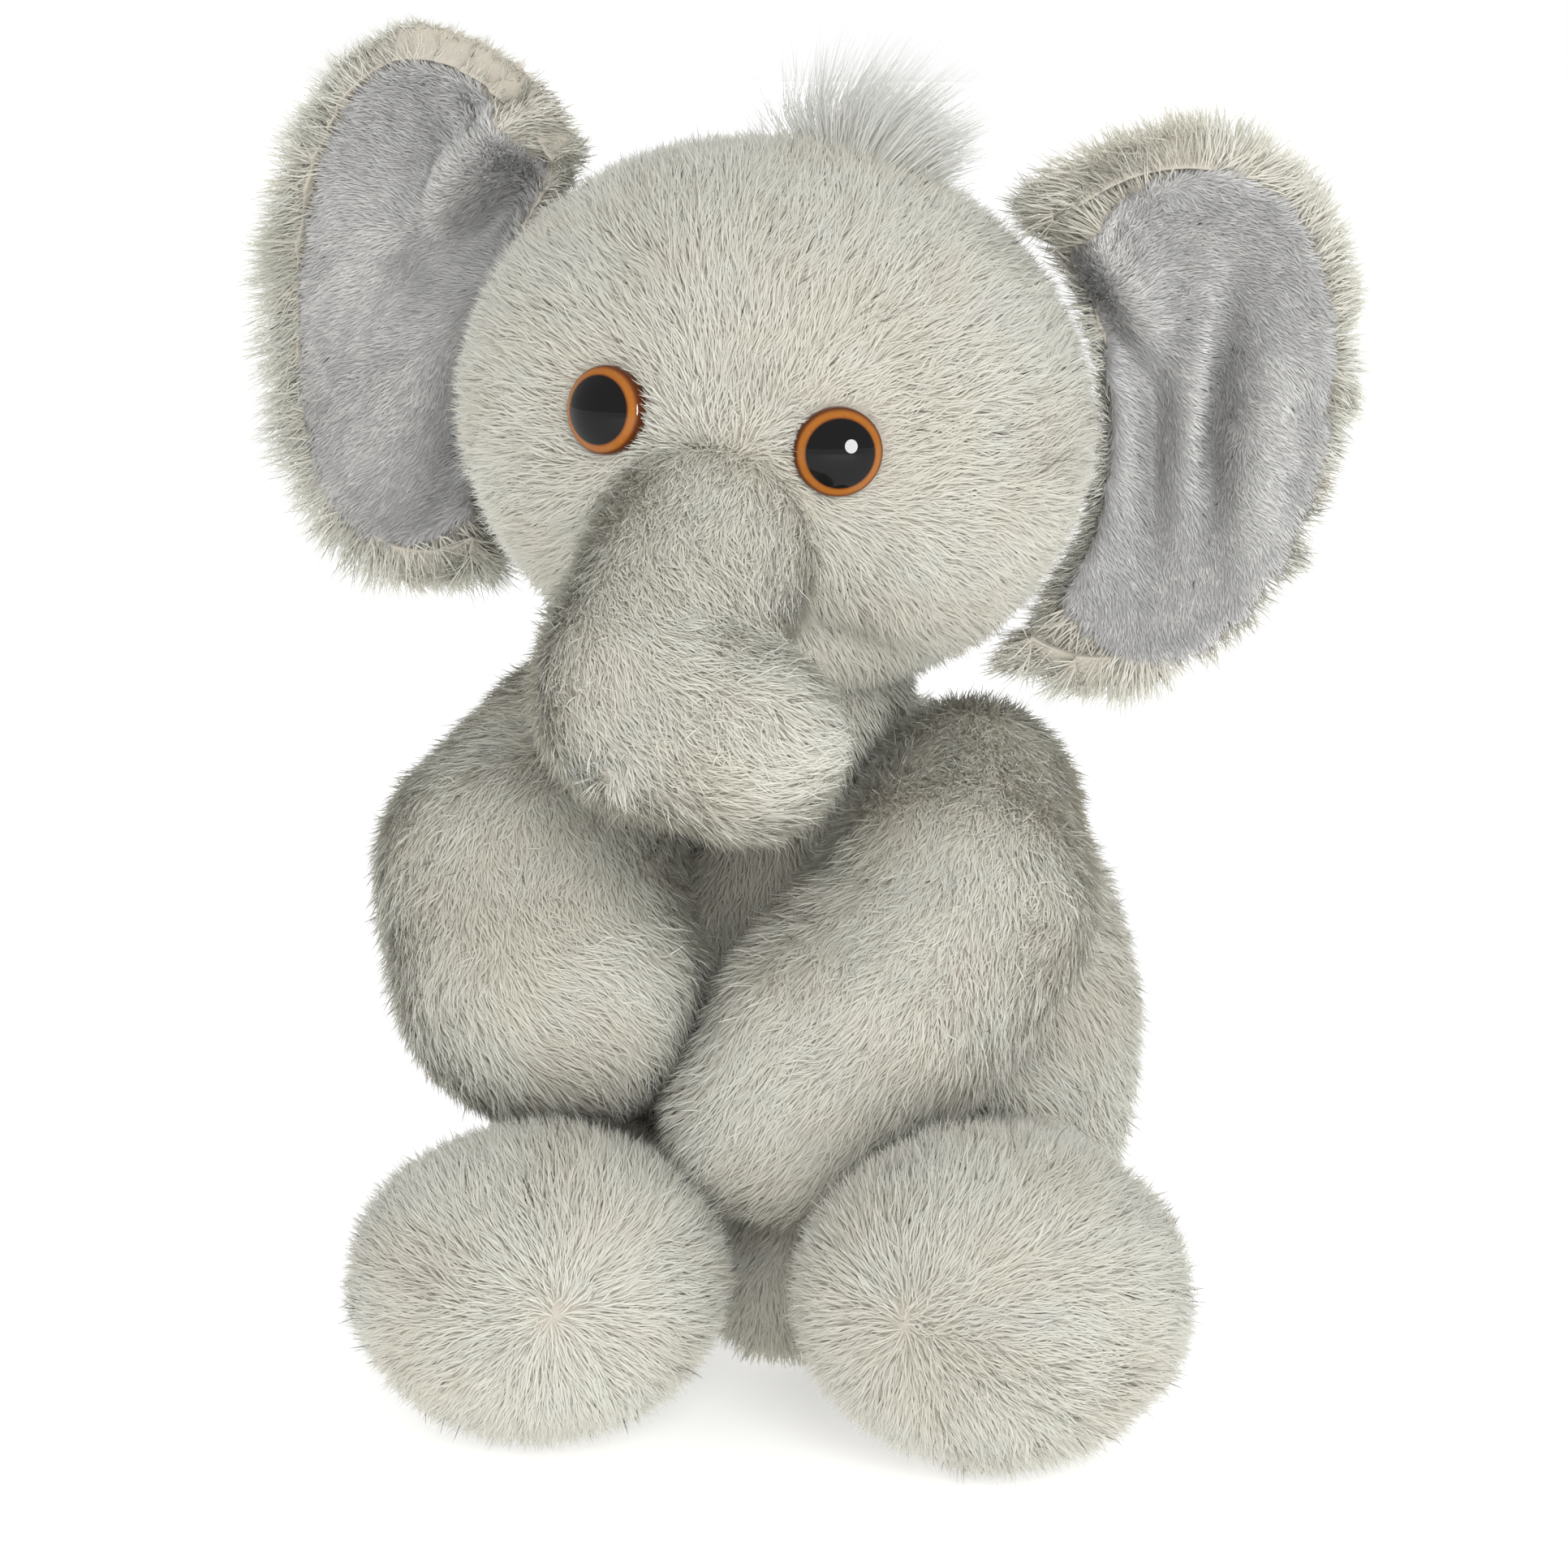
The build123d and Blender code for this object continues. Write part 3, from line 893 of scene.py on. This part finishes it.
class ELEPHANT_OT_head(Operator):
    """Makes the skins and the pile of the head and the trunk"""
    bl_idname = "elephant.head"
    bl_label = "Head and trunk"

    def execute(self, context):
        sizes = context.scene.plush_sizes
        stuffed_part("head", sizes, fill=0.9, sculpt=self.sculpt_head, taut=True)
        stuffed_part("trunk", sizes, fill=0.9, draw_in=1.4 * MM, sculpt=self.sculpt_trunk)
        root = pivot("trunk_lift")
        bridge = root + np.array([0, -0.02, 0.012])
        plush_piece("head_pile", "head", GROUNDS["head"], away_from(bridge), sizes, 51,
                    hidden_by=["trunk"],
                    keep=lambda roots, normals: near_eye(roots, 8.7 * MM, 9.2 * MM) > 0.5,
                    trim=lambda roots: ((0.55 + 0.45 * near_eye(roots, 9.5 * MM, 15 * MM))
                                        * (0.3 + 0.7 * self.off_mouth(roots))))
        bend = in_box("trunk_upper_panel", 0.36, 0.32, 0.36)
        tip = in_box("trunk_upper_panel", 0.95, 0.15, 0.22)
        plush_piece("trunk_pile", "trunk", GROUNDS["trunk"], along_line([root, bend, tip]), sizes,
                    53, hidden_by=["head"], lift=0.30)
        return {"FINISHED"}

    def sculpt_head(self, points, normals):
        """Draws the skin in round the eyes, as their washers do."""
        for side in SIDES:
            middle, looks = eye_frame(side)
            seat = middle - looks * 1.0 * MM
            gap = np.linalg.norm(points - seat, axis=1)
            over = (points - seat) @ looks
            sink = np.exp(-(gap / (12 * MM)) ** 2)[:, None]
            points = points - looks * sink * np.maximum(over + 1.5 * MM, 0)[:, None]
        sink = 11.0 * MM * (1 - self.off_mouth(points))[:, None]
        return points - normals * sink

    def sculpt_trunk(self, points, normals):
        """Lets the trunk hang a little lower towards its bend."""
        root = pivot("trunk_lift")
        low = points[:, 2].min()
        hang = np.clip((root[2] - points[:, 2]) / (root[2] - low), 0, 1)
        points = points.copy()
        points[:, 2] -= 3.5 * MM * hang
        return points

    def off_mouth(self, points):
        """From 0 in the fold of the mouth, beside the trunk, to 1 away from it."""
        away = points - pivot("trunk_lift") - np.array([26, -10, -23]) * MM
        slanted = away[:, 2] + 0.25 * away[:, 0]
        return 1 - np.exp(-(away[:, 0] / (13 * MM)) ** 2 - (slanted / (5.5 * MM)) ** 2
                          - (away[:, 1] / (25 * MM)) ** 2)


class ELEPHANT_OT_forelock(Operator):
    """Makes the long wispy hair on the crown"""
    bl_idname = "elephant.forelock"
    bl_label = "Forelock"

    def execute(self, context):
        sizes = context.scene.plush_sizes
        draw = np.random.default_rng(61)
        count = 1300
        foot = in_box("forelock_tuft", 0.35, 0.5, 0.0)
        spread = draw.normal(0, 1, (count, 3)) * np.array([8, 5, 0]) * MM
        starts = foot + spread
        roots, normals = [], []
        for start in starts:
            place, normal, _, _ = GROUNDS["head"].tree.find_nearest(Vector(start))
            roots.append(place)
            normals.append(normal)
        roots, normals = np.array(roots), np.array(normals)
        fan = (spread / (8 * MM)) * np.array([0.50, 0.30, 0]) + np.array([0.20, 0.04, 0])
        directions = unit(normals + fan + draw.normal(0, 0.10, (count, 3)))
        bends = unit(directions + np.array([0.34, 0.02, -0.10]) + draw.normal(0, 0.13, (count, 3)))
        thinning = np.exp(-(spread[:, 0] / (22 * MM)) ** 2)
        lengths = sizes.forelock * draw.uniform(0.5, 1.05, count) * thinning
        facing = unit(normals * 0.2 + np.array([0, -1, 0]))
        mesh = strands_mesh("forelock", roots, directions, bends, facing,
                            lengths, np.full(count, 0.2 * MM), draw.random(count),
                            unit(directions * 0.5 + np.array([0, -0.6, 0.5])))
        obj = finish_piece(new_object("forelock", mesh), "head", shared(long_hair))
        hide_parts("forelock_tuft")
        return {"FINISHED"}


class EarShape:
    """An ear's own axes, from its lining: across and outwards, up, and out of the cup."""

    def __init__(self, side):
        points = read(frame["nodes"][f"{side}_ear_lining"].data.vertices, "co").astype(float)
        self.middle = (points.max(axis=0) + points.min(axis=0)) / 2
        _, _, axes = np.linalg.svd(points - points.mean(axis=0), full_matrices=False)
        self.up = axes[0] * np.sign(axes[0][2])
        self.out = axes[2] * -np.sign(axes[2][1])
        self.across = axes[1] * np.sign(axes[1][0]) * SIDES[side]
        local = self.local(points)
        self.half = ((local.max(axis=0) - local.min(axis=0)) / 2)[:2]

    def local(self, points):
        """Places along the ear's own axes."""
        away = points - self.middle
        return np.stack([away @ self.across, away @ self.up, away @ self.out], axis=1)

    def shares(self, points):
        """Across and up, each from -1 to 1 over the lining."""
        return self.local(points)[:, :2] / self.half


# Soft hills and dents of each lining: across, up, width and height as shares of the lining,
# lean in degrees, and rise in metres.
EAR_FOLDS = {
    "right": [(-0.42, 0.66, 0.70, 0.11, -28, 0.0100), (-0.40, 0.42, 0.66, 0.11, -28, -0.0060),
              (0.15, 0.40, 0.12, 0.45, 20, -0.0034), (0.50, 0.10, 0.35, 0.30, 0, 0.0030),
              (-0.25, -0.25, 0.18, 0.60, 12, -0.0050), (0.25, -0.45, 0.40, 0.22, -20, 0.0032)],
    "left": [(-0.62, 0.56, 0.44, 0.11, -38, 0.0100), (-0.52, 0.36, 0.44, 0.10, -38, -0.0060),
             (0.30, 0.00, 0.12, 0.44, 10, -0.0075), (-0.04, -0.22, 0.11, 0.36, 14, -0.0060),
             (0.14, 0.10, 0.10, 0.38, 10, 0.0036), (0.58, -0.10, 0.20, 0.50, 0, 0.0034)],
}


# What is added to the fringe's length at the ear's outer edge and at its top, as shares.
FRINGE_EXTRA = {"right": (0.45, -0.60), "left": (-0.35, 0.0)}


class ELEPHANT_OT_ears(Operator):
    """Makes each ear's skin, folded lining, short nap and long fringe"""
    bl_idname = "elephant.ears"
    bl_label = "Ears"

    def execute(self, context):
        for number, side in enumerate(SIDES):
            self.ear(context.scene.plush_sizes, side, 71 + 10 * number)
        return {"FINISHED"}

    def ear(self, sizes, side, seed):
        """One ear, from its skin to its fringe."""
        shape = EarShape(side)
        body = f"{side}_ear"

        def draw_in(points, normals):
            front = np.clip(normals @ shape.out * 2 - 0.4, 0, 1)
            inside = np.linalg.norm(shape.shares(points), axis=1) < 1.0
            return np.where(inside, 5.0 * MM * (1 - front) + 0.6 * MM * front, 7.0 * MM)

        def sculpt(points, normals):
            front = np.clip(normals @ shape.out * 2, 0, 1)[:, None]
            return points + shape.out * front * self.rise(side, shape, points)[:, None]

        skin = stuffed_part(body, sizes, fill=0.35, grain=2.5 * MM, rounds=3, swell=0.0,
                            draw_in=draw_in, sculpt=sculpt, words=("panel", "wadding", "lining"))
        lining = self.lining(side, shape, skin)
        ground = Ground(lining)
        root = np.array([-0.7 * shape.half[0], 0.1 * shape.half[1]])

        def nap_comb(roots, normals):
            local = shape.local(roots)[:, :2] - root
            local = unit(local) + np.array([0, -0.35])
            return local[:, :1] * shape.across + local[:, 1:] * shape.up

        # painted light and painted shade on the nap: its tint is made paler on the folds' crests, darker in their
        # dents, and a little darker on the flat
        def fold_light_and_shade(roots):
            return np.clip(self.rise(side, shape, roots) / (9 * MM), -0.5, 0.5) - 0.12

        name = f"{body}_nap"
        nap = grow(name, ground, nap_comb, sizes.nap_density, sizes.nap, 0.30 * MM, seed,
                   lift=0.34, gather=0.2, tuft=3 * MM, wild=0.14, paler=fold_light_and_shade,
                   keep=lambda roots, normals: normals @ shape.out > 0.1)
        finish_piece(new_object(name, nap), body, shared(satin_nap))

        def fringe_comb(roots, normals):
            local = shape.local(roots)
            away = unit(local[:, :2] / shape.half ** 2)
            return away[:, :1] * shape.across + away[:, 1:] * shape.up

        def on_back(roots, normals):
            rim = np.linalg.norm(shape.shares(roots), axis=1) > 0.98
            return (normals @ shape.out < 0.25) | rim

        def fringe_trim(roots):
            at = shape.shares(roots)
            outer, top = FRINGE_EXTRA[side]
            uneven = 1 + outer * np.clip(at[:, 0], 0, 1) + top * np.clip(at[:, 1], 0, 1)
            return uneven * (0.75 + 0.25 * np.clip(np.linalg.norm(at, axis=1) * 2 - 1, 0, 1))

        plush_piece(f"{body}_pile", body, GROUNDS[body], fringe_comb, sizes, seed + 3,
                    reach=sizes.fringe, lift=0.45, keep=on_back, trim=fringe_trim,
                    hidden_by=["head"])

    def rise(self, side, shape, points):
        """How far the folds lift the lining at each point."""
        at = shape.shares(points)
        total = np.zeros(len(points))
        for across, up, wide, high, lean, rise in EAR_FOLDS[side]:
            turn = radians(lean)
            away = at - np.array([across, up])
            first = (away[:, 0] * cos(turn) + away[:, 1] * sin(turn)) / wide
            second = (away[:, 1] * cos(turn) - away[:, 0] * sin(turn)) / high
            total += rise * np.exp(-first ** 2 - second ** 2)
        return total

    def lining(self, side, shape, skin):
        """The front of the ear's skin as a thin closed cloth of its own."""
        mesh = skin.data
        points, normals = read(mesh.vertices, "co"), read(mesh.vertices, "normal")
        within = np.linalg.norm(shape.shares(points), axis=1) < 1.0
        inside = within & (normals @ shape.out > 0.25)
        faces = [list(face.vertices) for face in mesh.polygons]
        faces = [face for face in faces if inside[face].all()]
        used = sorted({i for face in faces for i in face})
        place = {old: new for new, old in enumerate(used)}
        lifted = points[used] + normals[used] * 0.9 * MM
        name = f"{side}_ear_lining_cloth"
        faces = [[place[i] for i in face] for face in faces]
        obj = new_object(name, mesh_from(name, lifted, faces))
        thick = obj.modifiers.new("thick", "SOLIDIFY")
        thick.thickness = 1.6 * MM
        thick.offset = -1.0
        settle(obj)
        return finish_piece(obj, f"{side}_ear", shared(satin_cloth))


class ELEPHANT_OT_eyes(Operator):
    """Makes the domed eyes and finishes the washers that hold them"""
    bl_idname = "elephant.eyes"
    bl_label = "Eyes"

    def execute(self, context):
        for side in SIDES:
            self.eye(side)
            washer = frame["nodes"][f"{side}_eye_washer"]
            washer.data.materials.clear()
            washer.data.materials.append(shared(moulded_plastic))
        return {"FINISHED"}

    def eye(self, side):
        """A domed eye: its dome's top and curve, its rounded edge, and the plate behind."""
        middle, looks = eye_frame(side)
        radius, top, plate, curve, edge = 9.0 * MM, 5.0 * MM, 1.4 * MM, 13.0 * MM, 1.6 * MM
        widest = np.arcsin((radius - edge) / (curve - edge))
        shoulder = top - curve + (curve - edge) * cos(widest)
        profile = [(curve * sin(t), curve * cos(t) - curve + top)
                   for t in np.linspace(0, widest, 36)]
        profile += [(radius - edge + edge * sin(t), shoulder + edge * cos(t))
                    for t in np.linspace(widest, pi / 2, 10)[1:]]
        profile += [(radius, -plate * part) for part in (0.0, 0.8)]
        profile += [(radius * part, -plate) for part in (0.97, 0.7, 0.35, 0.0)]
        name = f"{side}_eye"
        obj = new_object(name, turned(name, profile, middle, looks, 96))
        points = read(obj.data.vertices, "co").astype(float) - middle
        out = np.linalg.norm(points - (points @ looks)[:, None] * looks, axis=1) / radius
        store(obj.data, "out", out)
        finish_piece(obj, "head", shared(eye_plastic))
        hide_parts(f"{side}_eye_lens", f"{side}_eye_iris", f"{side}_eye_pupil")


def turned(name, profile, origin, axis, steps):
    """A closed turned form: the profile's (radius, height) points, swept round the axis."""
    first = unit(np.cross(axis, (0.0, 0.0, 1.0)))
    second = np.cross(axis, first)
    ends = [profile[0], profile[-1]]
    rings = profile[1:-1]
    points = [origin + axis * ends[0][1]]
    for radius, height in rings:
        for step in range(steps):
            turn = 2 * pi * step / steps
            spoke = radius * (first * cos(turn) + second * sin(turn))
            points.append(origin + axis * height + spoke)
    points.append(origin + axis * ends[1][1])
    last = len(points) - 1
    faces = []
    for step in range(steps):
        after = (step + 1) % steps
        faces.append((0, 1 + after, 1 + step))
        for ring in range(len(rings) - 1):
            here = 1 + ring * steps
            faces.append((here + step, here + after, here + steps + after, here + steps + step))
        base = 1 + (len(rings) - 1) * steps
        faces.append((last, base + step, base + after))
    return mesh_from(name, points, faces)


# ---------------------------------------------------------------- the add-on
STEPS = (ELEPHANT_OT_stage, ELEPHANT_OT_body, ELEPHANT_OT_head, ELEPHANT_OT_forelock,
         ELEPHANT_OT_ears, ELEPHANT_OT_eyes)
GROUPS = {"plush_sizes": PlushSizes, "plush_colours": PlushColours, "stage_sizes": StageSizes}


class ELEPHANT_PT_panel(Panel):
    """Lists the steps in the order in which they are made"""
    bl_label = "Stuffed Elephant"
    bl_idname = "ELEPHANT_PT_panel"
    bl_space_type = "VIEW_3D"
    bl_region_type = "UI"
    bl_category = "Elephant"

    def draw(self, context):
        for name, group in GROUPS.items():
            box = self.layout.box()
            for field in group.__annotations__:
                box.prop(getattr(context.scene, name), field)
        for step in STEPS:
            self.layout.operator(step.bl_idname)


CLASSES = (*GROUPS.values(), *STEPS, ELEPHANT_PT_panel)


def register():
    for item in CLASSES:
        bpy.utils.register_class(item)
    for name, group in GROUPS.items():
        setattr(bpy.types.Scene, name, PointerProperty(type=group))


def unregister():
    for name in GROUPS:
        delattr(bpy.types.Scene, name)
    for item in reversed(CLASSES):
        bpy.utils.unregister_class(item)


def main():
    register()
    for step in STEPS:
        family, name = step.bl_idname.split(".")
        getattr(getattr(bpy.ops, family), name)()


if __name__ == "__main__":
    main()
